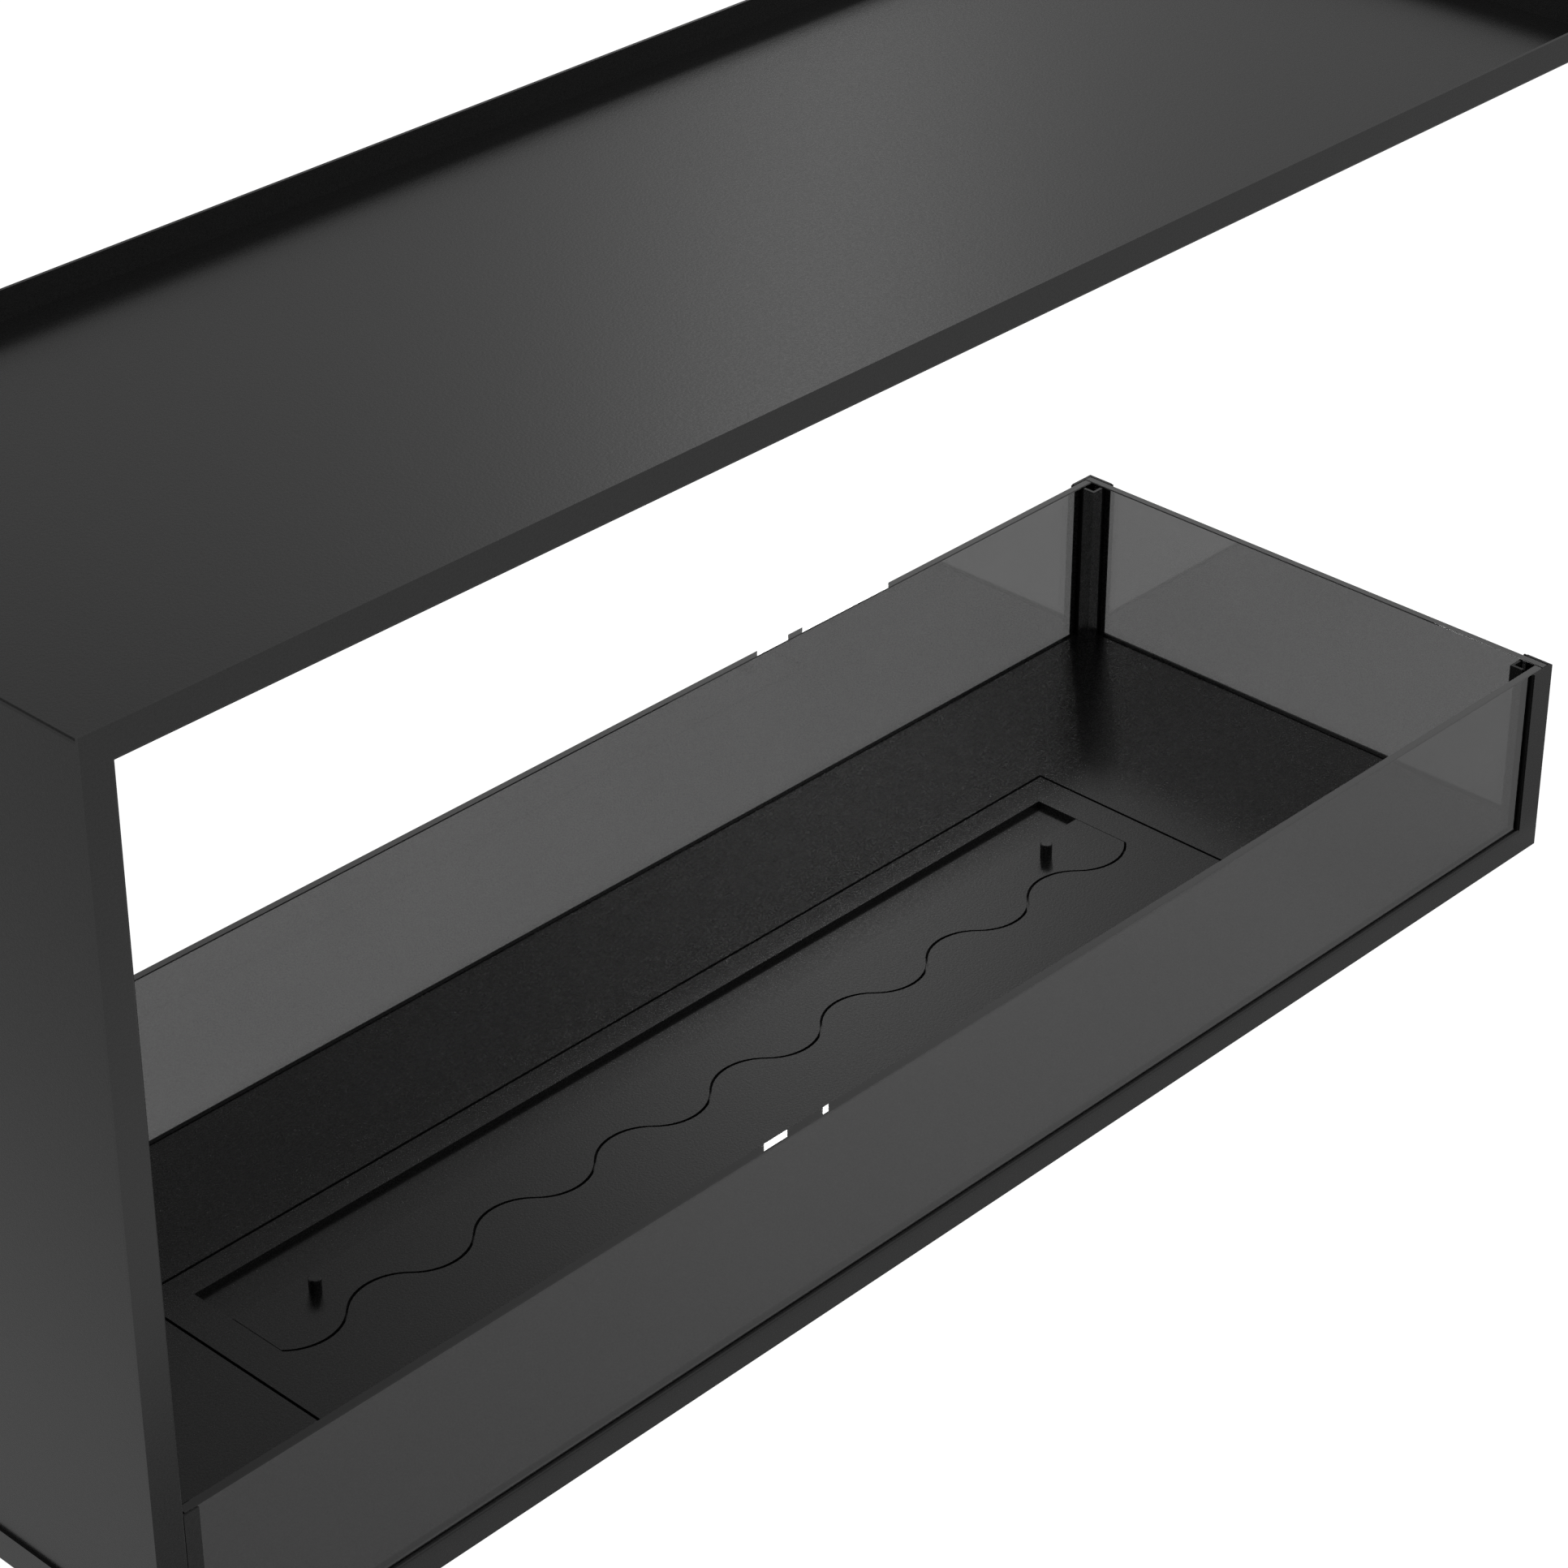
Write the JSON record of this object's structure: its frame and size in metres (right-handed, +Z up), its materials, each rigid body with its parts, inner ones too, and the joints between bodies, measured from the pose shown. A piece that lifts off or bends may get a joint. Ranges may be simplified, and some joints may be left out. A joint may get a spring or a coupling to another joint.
{
  "type": "built-in bioethanol fireplace",
  "caption": "Built-in open-sided fireplace: flanged steel roof, end wall and base, low glass panes between corner posts, and a lift-out burner with a sliding wavy-edged lid.",
  "frame": {"origin": "on the floor, under the middle of the frame", "axes": "+X along the length away from the closed end wall, -Y to the side of the burner's wavy edge (the front), +Z up"},
  "size_m": [1.2, 0.4, 0.6],
  "materials": {
    "black_powder_coat": "fine-grained satin black powder coat",
    "smoked_glass": "dark, polished",
    "black_rubber": "matt black",
    "zinc_steel": "zinc plated",
    "ceramic_fibre": "rough, porous"
  },
  "bodies": {
    "housing": {"top_pan": "black_powder_coat", "left_wall": "black_powder_coat", "base_pan": "black_powder_coat", "wall_rivets": "black_powder_coat", "base_stiffener_left": "black_powder_coat", "base_stiffener_right": "black_powder_coat", "burner_cradle": "black_powder_coat", "cradle_studs": "zinc_steel", "cradle_nuts": "zinc_steel", "front_post": "black_powder_coat", "back_post": "black_powder_coat", "front_post_inner": "black_powder_coat", "back_post_inner": "black_powder_coat", "front_post_seals": "black_rubber", "back_post_seals": "black_rubber", "front_post_beads": "black_rubber", "back_post_beads": "black_rubber", "front_channel": "black_powder_coat", "back_channel": "black_powder_coat", "front_seat": "black_rubber", "back_seat": "black_rubber", "right_seat": "black_rubber"},
    "front_pane": {"front_glass": "smoked_glass"},
    "back_pane": {"back_glass": "smoked_glass"},
    "right_pane": {"right_glass": "smoked_glass"},
    "burner": {"burner_plate": "black_powder_coat", "recess_floor": "black_powder_coat", "recess_wall": "black_powder_coat", "fuel_tray": "black_powder_coat", "absorber": "ceramic_fibre", "flame_grid": "black_powder_coat"},
    "lid": {"lid_plate": "black_powder_coat", "lid_runners": "black_powder_coat", "lid_pin_left": "black_powder_coat", "lid_pin_right": "black_powder_coat", "pin_screws": "black_powder_coat"}
  },
  "joints": [
    {"name": "front_pane_lift", "type": "slide", "parent": "housing", "child": "front_pane", "axis": [0, 0, 1], "range_m": [0, 0.125]},
    {"name": "back_pane_lift", "type": "slide", "parent": "housing", "child": "back_pane", "axis": [0, 0, 1], "range_m": [0, 0.125]},
    {"name": "right_pane_lift", "type": "slide", "parent": "housing", "child": "right_pane", "axis": [0, 0, 1], "range_m": [0, 0.125]},
    {"name": "burner_lift", "type": "slide", "parent": "housing", "child": "burner", "axis": [0, 0, 1], "range_m": [0, 0.1]},
    {"name": "lid_slide", "type": "slide", "parent": "burner", "child": "lid", "axis": [0, 1, 0], "range_m": [0, 0.033]}
  ]
}
